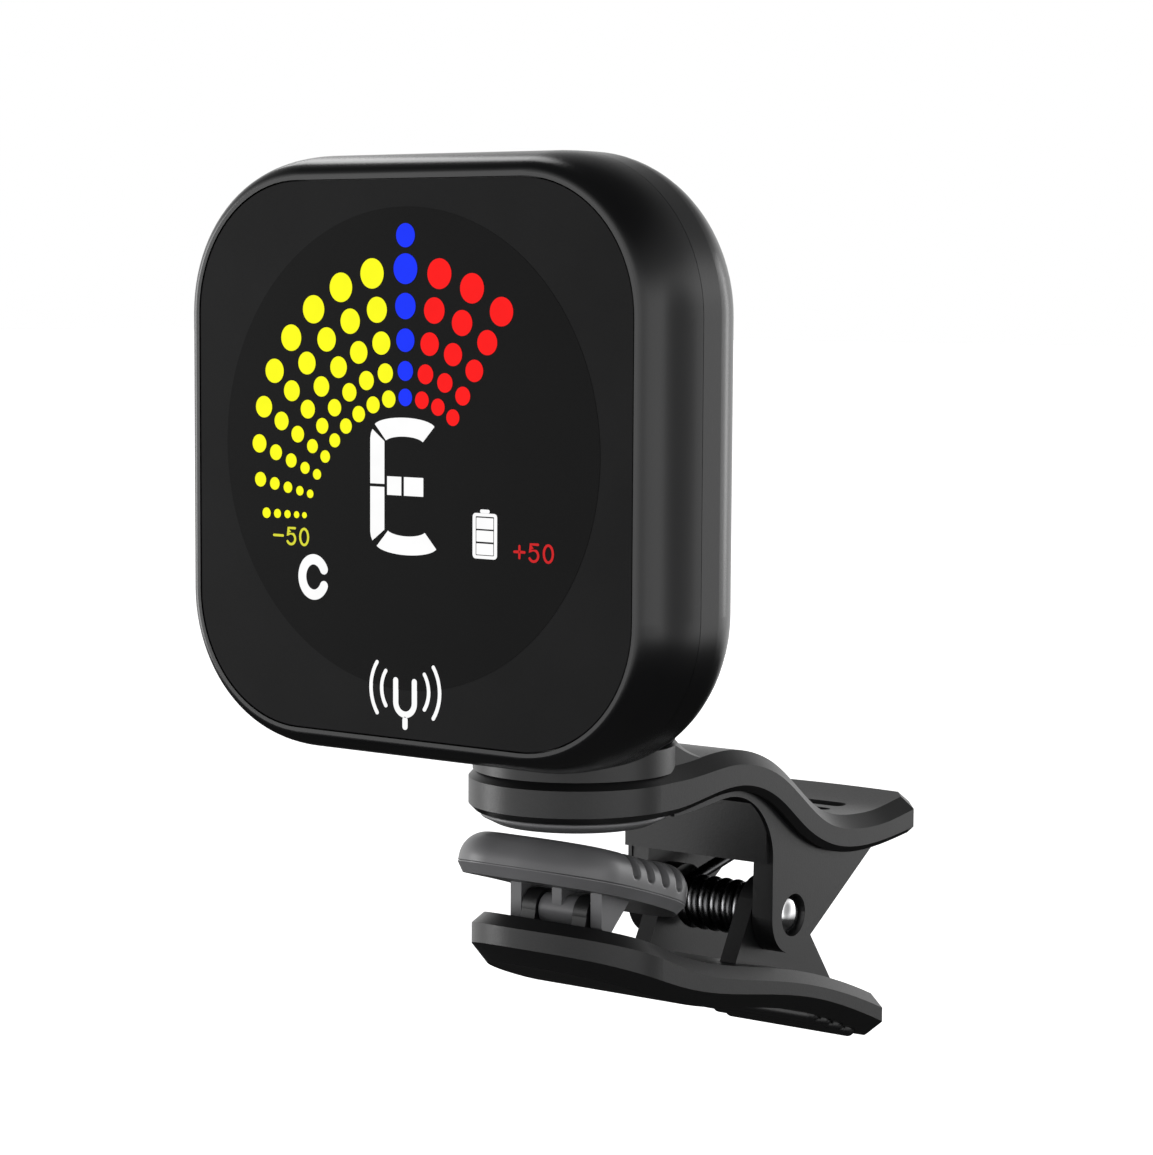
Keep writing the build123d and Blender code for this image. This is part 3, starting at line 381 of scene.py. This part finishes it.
def fan_column(column):
    """The outlines of one column's five dots."""
    angle = radians(column * FAN_STEP)
    closing = 1 - CLOSING * abs(column / FLAT_COLUMNS) ** CLOSING_POWER
    radius = OUTER_RADIUS - OUTER_DROP * (1 - cos(angle))
    dots = []
    for gap, size in zip(RING_GAPS, DOT_SIZES):
        radius -= gap * closing
        x = FAN_CENTRE[0] + radius * sin(angle)
        z = FAN_CENTRE[1] + radius * cos(angle)
        dots.append(circle(x, z, size * closing**DOT_POWER / 2, 32))
    return dots


def show(name, outlines, material):
    """A lit figure on the display."""
    figure = plate(name, outlines, FIGURE_FRONT, FILM)
    return new_piece(name, figure, "head", material, smooth=False)


# Places and sizes of the figures, in mm about the window's centre.
NOTE_LEFT, NOTE_BAR, NOTE_MIDDLE = -3.56, 1.43, -1.98  # left side, bar width, middle height
NOTE_TOP, NOTE_WALL = 5.33, 4.27  # reach of the curved bars and of the uprights from the middle
DASH_LOW, DASH_HIGH = -2.7, -1.24
BATTERY_X = 7.94
BARS_Z = (-4.47, -5.45, -6.45)
MODE_PLACE, MODE_PEN = (-9.5, -9.62), 0.82
SCALE_LOW, SCALE_HEIGHT, SCALE_PEN = -7.12, 1.3, 0.2
FIVE_WIDTH, BOWL_R = 0.86, 0.44
ZERO_STEP = 1.38  # from the five to the zero on its right, and to the sign on its left
SIGN_REACH = 0.48


def meter():
    """The fan of dots: yellow on the flat side, red on the sharp side, blue between."""
    flat = [dot for column in range(-FLAT_COLUMNS, 0) for dot in fan_column(column)]
    sharp = [dot for column in range(1, SHARP_COLUMNS + 1) for dot in fan_column(column)]
    in_tune = fan_column(0) + [circle(0, TOP_DOT[0], TOP_DOT[1] / 2, 32)]
    show("meter_flat", flat, lit_yellow)
    show("meter_sharp", sharp, lit_red)
    show("meter_in_tune", in_tune, lit_blue)


def note():
    """The note, in segments: two curved bars, two uprights and a broken middle bar."""
    inner = NOTE_LEFT + NOTE_BAR
    segments = []
    for way, centre in ((1, -0.1), (-1, 0.1)):
        top = NOTE_TOP * way + NOTE_MIDDLE
        wall = NOTE_WALL * way + NOTE_MIDDLE
        outer_arc = arc(centre, top - 0.75 * way, 3.1, 0.78 * way, 165, 12, 16)
        inner_arc = arc(centre, top - 2.0 * way, 2.0, 0.56 * way, 20, 158, 16)
        segments.append(outer_arc + inner_arc)
        segments.append(
            [
                (NOTE_LEFT, NOTE_MIDDLE + 0.12 * way),
                (inner, NOTE_MIDDLE + 0.12 * way),
                (inner, wall - 0.8 * way),
                (NOTE_LEFT + 0.22, wall + 0.1 * way),
                (NOTE_LEFT + 0.07, wall - 0.2 * way),
                (NOTE_LEFT, wall - 0.6 * way),
            ]
        )
    for start, end in ((-1.83, -0.4), (-0.12, 1.82)):
        dash = [(start, DASH_LOW), (end, DASH_LOW), (end, DASH_HIGH), (start, DASH_HIGH)]
        segments.append(dash)
    show("note_letter", segments, lit_white)


def battery():
    """The battery mark: a case with a cap, and three bars."""
    case = [rounded(BATTERY_X, -5.44, 1.19, 1.75, 0.3, 6)]
    case.append(rounded(BATTERY_X, -5.44, 0.9, 1.5, 0.06, 3))
    cap = [rounded(BATTERY_X, -3.54, 0.46, 0.14, 0.13, 4)]
    bars = [rounded(BATTERY_X, z, 0.82, 0.43, 0.04, 3) for z in BARS_Z]
    show("battery_mark", case + cap + bars, lit_white)


def scale_end(name, x, positive, material):
    """A number at one end of the scale: a sign, a five and a zero. The five is at x."""
    top, right, left = SCALE_LOW + SCALE_HEIGHT, x + FIVE_WIDTH / 2, x - FIVE_WIDTH / 2
    five = [(right - 0.04, top), (left + 0.12, top), (left + 0.06, SCALE_LOW + 0.66)]
    five += arc(x - 0.02, SCALE_LOW + BOWL_R, BOWL_R, BOWL_R, 120, -150, 18)
    zero = arc(x + ZERO_STEP, SCALE_LOW + SCALE_HEIGHT / 2, 0.43, 0.65, 0, 337.5, 15)
    figures = stroke(five, SCALE_PEN) + stroke(zero, SCALE_PEN, closed=True)
    dash, middle = x - ZERO_STEP, SCALE_LOW + 0.65
    figures += stroke([(dash - SIGN_REACH, middle), (dash + SIGN_REACH, middle)], SCALE_PEN)
    if positive:
        for end in (-1, 1):
            upright = [(dash, middle + 0.12 * end), (dash, middle + 0.45 * end)]
            figures += stroke(upright, SCALE_PEN)
    show(name, figures, material)


def display_figures():
    """Everything that is lit on the display."""
    meter()
    note()
    battery()
    show("mode_letter", stroke(arc(*MODE_PLACE, 1.22, 1.42, 28, 332, 40), MODE_PEN), lit_white)
    scale_end("scale_minus", -11.9, False, lit_straw)
    scale_end("scale_plus", 12.68, True, lit_crimson)


def maker_mark():
    """A plain tuning fork, printed on the window under the display. Its white is painted light: the
    print glows like the lit figures.
    """
    tine_gap, tine_top, bend = 0.95, 1.6, 0.95
    fork = [(-tine_gap, tine_top)]
    fork += arc(0, -0.1, tine_gap, bend, 180, 360, 20)
    fork += [(tine_gap, tine_top)]
    middle_z = -18.85
    tines = stroke([(x, z + middle_z) for x, z in fork], 0.5)
    handle = stroke([(0, middle_z - 1.45), (0, middle_z - 2.0)], 0.5)
    waves = []
    for side in (-1, 1):
        for reach in (2.4, 3.5):
            wave = arc(0, middle_z + 0.9, reach, reach, 90 - side * 55, 90 - side * 125, 12)
            waves += stroke(wave, 0.32)
    figure = plate("maker_mark", tines + handle + waves, MARK_FRONT, MARK_FILM)
    # the printed mark glows white: painted light
    new_piece("maker_mark", figure, "head", lit_white, smooth=False)


window()
display_figures()
maker_mark()


# ---------------------------------------------------------------- spring and pin
WIRE_R = 0.57 * MM
COIL_R = 1.9 * MM
COIL_PITCH = 1.18 * MM
COIL_TURNS = 5.41
UPPER_LEG = (9.3 * MM, 12.0)  # length, and degrees that it climbs to the rear
LOWER_LEG = (8.3 * MM, -31.0)
FLAT_END = 80  # degrees at the coil's lower end that run without pitch
HIDDEN_ARC = 38  # degrees of the lower leg's wire inside the coil, more than the jaw's travel
HIDDEN_THICKNESS = 0.93


def wire(name, body, path):
    """Round wire along a path of (place, thickness) points. A thickness of 1 is the full wire."""
    curve = bpy.data.curves.new(name, "CURVE")
    curve.dimensions = "3D"
    curve.bevel_depth = WIRE_R
    curve.bevel_resolution = 8
    curve.use_fill_caps = True
    line = curve.splines.new("POLY")
    line.points.add(len(path) - 1)
    for point, (place, thickness) in zip(line.points, path):
        point.co = (*place, 1)
        point.radius = thickness
    line.use_smooth = True
    return new_piece(name, curve, body, black_wire)


def straight_leg(start, leg):
    """Points along a straight leg of the spring, from the end of the coil."""
    reach, climb = leg
    way = Vector((0, cos(radians(climb)), sin(radians(climb))))
    return [start + way * reach * share for share in (0.12, 0.4, 0.7, 1.0)]


def spring():
    """The torsion spring: round wire in an even coil, with two straight legs.

    The lower leg rides on the lower jaw. It has a short arc of slightly thinner wire inside the
    coil's flat last turn, and the arc slides out as the jaw opens, so the wire stays joined.
    """
    length = COIL_TURNS * COIL_PITCH
    steps = 48
    first = radians(90 + UPPER_LEG[1])
    last = radians(270 + LOWER_LEG[1]) + 2 * pi * int(COIL_TURNS)

    def on_coil(angle):
        """The place on the coil that the wire reaches at an angle."""
        along = min(1, (angle - first) / (last - first - radians(FLAT_END)))
        return PIVOT + Vector((length * (along - 0.5), COIL_R * cos(angle), COIL_R * sin(angle)))

    count = int(COIL_TURNS * steps)
    turns = [on_coil(first + (last - first) * n / count) for n in range(count + 1)]
    upper = straight_leg(turns[0], UPPER_LEG)
    coil = wire("spring_wire", "clip", [(place, 1.0) for place in upper[::-1] + turns])
    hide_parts("torsion_spring")
    hidden = [on_coil(last - radians(HIDDEN_ARC) * (1 - n / 8)) for n in range(9)]
    lower = straight_leg(turns[-1], LOWER_LEG)
    wire(
        "spring_leg",
        "lower_jaw",
        [(place, HIDDEN_THICKNESS) for place in hidden] + [(place, 1.0) for place in lower],
    )


def pin():
    """The jaw's pin, with a domed head at each end."""
    low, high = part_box("pivot_pin")
    shaft, head, dome, rim = 1.15 * MM, 1.72 * MM, 0.62 * MM, 0.7 * MM
    profile = [(0, low.x)]
    for n in range(1, 13):
        angle = n / 12 * pi / 2
        profile.append((head * sin(angle), low.x + dome * (1 - cos(angle))))
    profile += [(head, low.x + rim), (shaft, low.x + rim)]
    profile += [(shaft, high.x - rim), (head, high.x - rim)]
    for n in range(12, -1, -1):
        angle = n / 12 * pi / 2
        profile.append((head * sin(angle), high.x - dome * (1 - cos(angle))))
    data = lathe("jaw_pin", profile, (0, PIVOT.y, PIVOT.z), (1, 0, 0))
    piece = new_piece("jaw_pin", data, "clip", chrome)
    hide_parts("pivot_pin")


spring()
pin()

# ---------------------------------------------------------------- jaw pads
ROCKER_TILT = atan2(0.32, 1)  # the joint of pad and frame slopes down to the rear
ROCKER_MID = Vector((0, -0.3, -5.57)) * MM  # middle of that joint
PAD_HALF = (7.65, 10.35)
PAD_CORNER = 6.3
PAD_ARCH = 0.5  # rise of the joint's middle above its ends
ARCH_PEAK = 1.5  # the arch is highest this far behind the middle
PAD_CROWN = 2.7  # height of the pad above the joint
CROWN_REAR = 0.5  # it is this much higher at its rear end
CROWN_ROUND = 2.25
GROOVES = 5
GROOVE_PITCH = 2.15
FIRST_GROOVE = -1.65
GROOVE_WIDTH = 1.0
GROOVE_DEPTH = 0.7
GROOVE_FLOOR = 0.8  # the grooves end this high above the joint


def smooth_step(value):
    """Runs smoothly from 0 to 1."""
    share = min(max(value, 0.0), 1.0)
    return share * share * (3 - 2 * share)


def pad_rim(arc_steps=90, long_steps=84, short_steps=26):
    """Stations round the pad's outline: the corner's centre and the angle outward from it."""
    flat_x, flat_y = PAD_HALF[0] - PAD_CORNER, PAD_HALF[1] - PAD_CORNER
    signs = ((1, 1), (-1, 1), (-1, -1), (1, -1))
    stations = []
    for quarter in range(4):
        x, y = signs[quarter][0] * flat_x, signs[quarter][1] * flat_y
        following = signs[(quarter + 1) % 4]
        to_x, to_y = following[0] * flat_x, following[1] * flat_y
        for n in range(arc_steps):
            stations.append((x, y, (quarter + n / arc_steps) * pi / 2))
        steps = short_steps if quarter % 2 == 0 else long_steps
        for n in range(steps):
            share = n / steps
            place = x + (to_x - x) * share, y + (to_y - y) * share
            stations.append((*place, (quarter + 1) * pi / 2))
    return stations


def joint_height(y):
    """Height of the arched joint at a place along the pad."""
    reach = 12.5 if y < ARCH_PEAK else 9.5
    return PAD_ARCH * (1 - ((y - ARCH_PEAK) / reach) ** 2)


def groove_at(y, height):
    """How deep a groove is at a place on the pad, from 0 to 1. Its lower end is round."""
    deepest = 0.0
    for number in range(GROOVES):
        away = abs(y - FIRST_GROOVE - number * GROOVE_PITCH) / (GROOVE_WIDTH / 2)
        inside = smooth_step((1.1 - away) / 0.3)
        floor = GROOVE_FLOOR + 0.3 * min(away, 1.0) ** 2
        deepest = max(deepest, inside * smooth_step((height - floor + 0.1) / 0.2))
    return deepest


def pad_point(station, inset, steep, narrow=1.0):
    """A point of the pad: drawn in by an inset, at a slope from upright (0) to level (pi / 2)."""
    x, y, angle = station
    along = y + (PAD_CORNER - inset) * sin(angle)
    foot = joint_height(along)
    crown = PAD_CROWN + CROWN_REAR * smooth_step((along - 0.5) / 8)
    height = crown - CROWN_ROUND * (1 - sin(steep))
    sink = GROOVE_DEPTH * groove_at(along, height)
    reach = PAD_CORNER - inset - sink * cos(steep)
    point = (x + reach * cos(angle), y + reach * sin(angle), foot + height - sink * sin(steep))
    return point[0] * narrow * MM, point[1] * MM, point[2] * MM


def rocker_pad():
    """The soft crown of the rocking jaw, with grip grooves across its rear half."""
    stations = pad_rim()
    round_steps, level_steps, wall_steps = 26, 28, 5
    bm = bmesh.new()
    rings = []
    for n in range(wall_steps):
        ring = []
        for x, y, angle in stations:
            along = y + PAD_CORNER * sin(angle)
            top = pad_point((x, y, angle), 0.0, 0.0)
            foot = joint_height(along) * MM
            base = (x + PAD_CORNER * cos(angle)) * MM, along * MM, foot
            height = foot + (top[2] - foot) * n / wall_steps
            ring.append(bm.verts.new((base[0], base[1], height)))
        rings.append(ring)
    sections = []
    for n in range(round_steps + 1):
        steep = n / round_steps * pi / 2
        sections.append((CROWN_ROUND * (1 - cos(steep)), steep, 1.0))
    last_inset = PAD_CORNER - 0.08
    for n in range(1, level_steps + 1):
        inset = CROWN_ROUND + (last_inset - CROWN_ROUND) * n / level_steps
        sections.append((inset, pi / 2, 1.0))
    sections += [(last_inset, pi / 2, narrow) for narrow in (0.66, 0.33, 0.0)]
    for inset, steep, narrow in sections:
        points = [pad_point(station, inset, steep, narrow) for station in stations]
        rings.append([bm.verts.new(point) for point in points])
    around = len(stations)
    for first, second in zip(rings, rings[1:]):
        for n in range(around):
            after = (n + 1) % around
            bm.faces.new((first[n], first[after], second[after], second[n]))
    bm.faces.new(rings[0][::-1])
    bmesh.ops.remove_doubles(bm, verts=bm.verts, dist=0.0005 * MM)
    bmesh.ops.dissolve_degenerate(bm, edges=bm.edges, dist=0.0005 * MM)
    slope = Matrix.Rotation(-ROCKER_TILT, 3, "X")
    bmesh.ops.rotate(bm, verts=bm.verts, cent=(0, 0, 0), matrix=slope)
    bmesh.ops.translate(bm, verts=bm.verts, vec=ROCKER_MID)
    data = mesh_from(bm, "rocker_crown")
    piece = new_piece("rocker_crown", data, "rocker", jaw_rubber)
    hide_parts("rocker_pad")


def upper_pad():
    """The round pad under the disc: a band, a thin step and a chamfered gripping face."""
    profile = [(0, 1.5), (7.1, 1.5), (7.1, 0.95), (7.88, 0.93), (7.95, 0.86), (7.95, 0.66)]
    profile += [(7.88, 0.58), (6.85, 0.06), (6.7, 0.0), (0, 0)]
    data = lathe("fixed_jaw_pad", [(r * MM, z * MM) for r, z in profile], (0, 0, 0), (0, 0, 1), 160)
    piece = new_piece("fixed_jaw_pad", data, "clip", jaw_rubber)
    add_modifier(piece, "BEVEL", width=0.05 * MM, segments=2, limit_method="ANGLE")
    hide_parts("upper_pad")


rocker_pad()
upper_pad()


# ---------------------------------------------------------------- stage, light and camera
FLOOR_DROP = 60 * MM
AIM = Vector((11.22, -14.89, 22.27)) * MM  # point on the camera's axis
AZIMUTH, ELEVATION, ROLL = radians(36.83), radians(5.29), radians(0.352)
DISTANCE = 246.45 * MM
LENS = 98.71


def stage():
    """A plain pale floor."""
    data = bpy.data.meshes.new("floor")
    reach = 6.0
    level = cad_low.z - FLOOR_DROP
    signs = ((-1, -1), (1, -1), (1, 1), (-1, 1))
    corners = [(reach * x, reach * y, level) for x, y in signs]
    data.from_pydata(corners, [], [(0, 1, 2, 3)])
    floor = bpy.data.objects.new("floor", data)
    bpy.context.scene.collection.objects.link(floor)
    material, _, _, bsdf = shader("floor_white")
    bsdf.inputs["Base Color"].default_value = (0.9, 0.9, 0.9, 1)
    bsdf.inputs["Roughness"].default_value = 0.9
    bsdf.inputs["Emission Color"].default_value = (1, 1, 1, 1)
    bsdf.inputs["Emission Strength"].default_value = 1.0
    data.materials.append(material)
    floor.visible_glossy = False
    floor.visible_diffuse = False


# Brightness of the room by direction, as (value, grey) stops. The value runs from -1 to 1.
WALL_BY_HEIGHT = (
    (-1.0, 0.04),
    (-0.5, 0.01),
    (-0.30, 0.03),
    (-0.18, 1.0),
    (0.2, 1.0),
    (0.45, 0.25),
    (0.75, 0.03),
    (1.0, 0.02),
)
WALL_BY_SIDE = ((-1.0, 0.5), (-0.7, 0.8), (-0.3, 0.8), (0.28, 1.05), (0.8, 1.0), (1.0, 0.8))
FLAG_TOWARDS = (0.8, 0.6, 0.0)  # a dark flag stands to the right and a little behind
FLAG_BY_AIM = ((-1.0, 1.0), (0.94, 1.0), (0.985, 0.3), (1.0, 0.25))
WALL_STRENGTH = 1.6


def grey_ramp(nodes, links, source, stops):
    """Maps a value from -1 to 1 onto greys."""
    span = nodes.new("ShaderNodeMapRange")
    span.inputs["From Min"].default_value = -1
    span.inputs["From Max"].default_value = 1
    links.new(source, span.inputs["Value"])
    band = nodes.new("ShaderNodeValToRGB")
    elements = band.color_ramp.elements
    while len(elements) < len(stops):
        elements.new(0.5)
    for element, (value, grey) in zip(elements, stops):
        element.position = (value + 1) / 2
        element.color = (grey, grey, grey, 1)
    links.new(span.outputs["Result"], band.inputs["Fac"])
    return band


def room():
    """A dark studio with a pale band of wall round the tuner, white where the camera sees it."""
    world = bpy.data.worlds.new("room")
    world.use_nodes = True
    bpy.context.scene.world = world
    nodes, links = world.node_tree.nodes, world.node_tree.links
    place = nodes.new("ShaderNodeTexCoord")
    split = nodes.new("ShaderNodeSeparateXYZ")
    links.new(place.outputs["Generated"], split.inputs["Vector"])
    # brightness from straight down to straight up
    by_height = grey_ramp(nodes, links, split.outputs["Z"], WALL_BY_HEIGHT)
    # brightness from behind the tuner to the camera's side
    facing = nodes.new("ShaderNodeVectorMath")
    facing.operation = "DOT_PRODUCT"
    facing.inputs[1].default_value = (sin(AZIMUTH), -cos(AZIMUTH), 0)
    links.new(place.outputs["Generated"], facing.inputs[0])
    by_side = grey_ramp(nodes, links, facing.outputs["Value"], WALL_BY_SIDE)
    flag = nodes.new("ShaderNodeVectorMath")
    flag.operation = "DOT_PRODUCT"
    flag.inputs[1].default_value = FLAG_TOWARDS
    links.new(place.outputs["Generated"], flag.inputs[0])
    by_flag = grey_ramp(nodes, links, flag.outputs["Value"], FLAG_BY_AIM)
    shade = by_height.outputs["Color"]
    for other in (by_side, by_flag):
        product = nodes.new("ShaderNodeMixRGB")
        product.blend_type = "MULTIPLY"
        product.inputs["Fac"].default_value = 1.0
        links.new(shade, product.inputs["Color1"])
        links.new(other.outputs["Color"], product.inputs["Color2"])
        shade = product.outputs["Color"]
    links.new(shade, nodes["Background"].inputs["Color"])
    nodes["Background"].inputs["Strength"].default_value = WALL_STRENGTH
    # the camera sees plain white behind the tuner
    white = nodes.new("ShaderNodeBackground")
    white.inputs["Color"].default_value = (1, 1, 1, 1)
    rays = nodes.new("ShaderNodeLightPath")
    mix = nodes.new("ShaderNodeMixShader")
    links.new(rays.outputs["Is Camera Ray"], mix.inputs["Fac"])
    links.new(nodes["Background"].outputs["Background"], mix.inputs[1])
    links.new(white.outputs["Background"], mix.inputs[2])
    links.new(mix.outputs["Shader"], nodes["World Output"].inputs["Surface"])


def softbox(name, place, aim, size, power):
    """A soft lamp that points at the aim."""
    light = bpy.data.lights.new(name, "AREA")
    light.shape = "RECTANGLE"
    light.size, light.size_y = size
    light.energy = power
    lamp = bpy.data.objects.new(name, light)
    bpy.context.scene.collection.objects.link(lamp)
    lamp.location = place
    lamp.rotation_euler = (Vector(aim) - Vector(place)).to_track_quat("-Z", "Y").to_euler()


def camera():
    """Looks at the display from its right and a little above."""
    back = Vector((sin(AZIMUTH) * cos(ELEVATION), -cos(AZIMUTH) * cos(ELEVATION), sin(ELEVATION)))
    across = Vector((0, 0, 1)).cross(back).normalized()
    up = back.cross(across)
    right = across * cos(ROLL) + up * sin(ROLL)
    up = up * cos(ROLL) - across * sin(ROLL)
    data = bpy.data.cameras.new("camera")
    data.lens = LENS
    data.sensor_width = 36.0
    data.clip_start = 0.01
    eye = bpy.data.objects.new("camera", data)
    bpy.context.scene.collection.objects.link(eye)
    turn = Matrix((right, up, back)).transposed().to_4x4()
    eye.matrix_world = Matrix.Translation(AIM + back * DISTANCE) @ turn
    bpy.context.scene.camera = eye


stage()
room()
camera()
softbox("key", (-0.60, -0.30, 0.02), AIM, (0.30, 0.30), 1.2)
softbox("rear_strip", (0.20, 0.60, 0.10), AIM, (0.12, 0.30), 0.3)
softbox("top_strip", (-0.36, 0.30, 0.42), AIM, (0.10, 0.40), 0.25)
bpy.context.scene.view_settings.view_transform = "Standard"
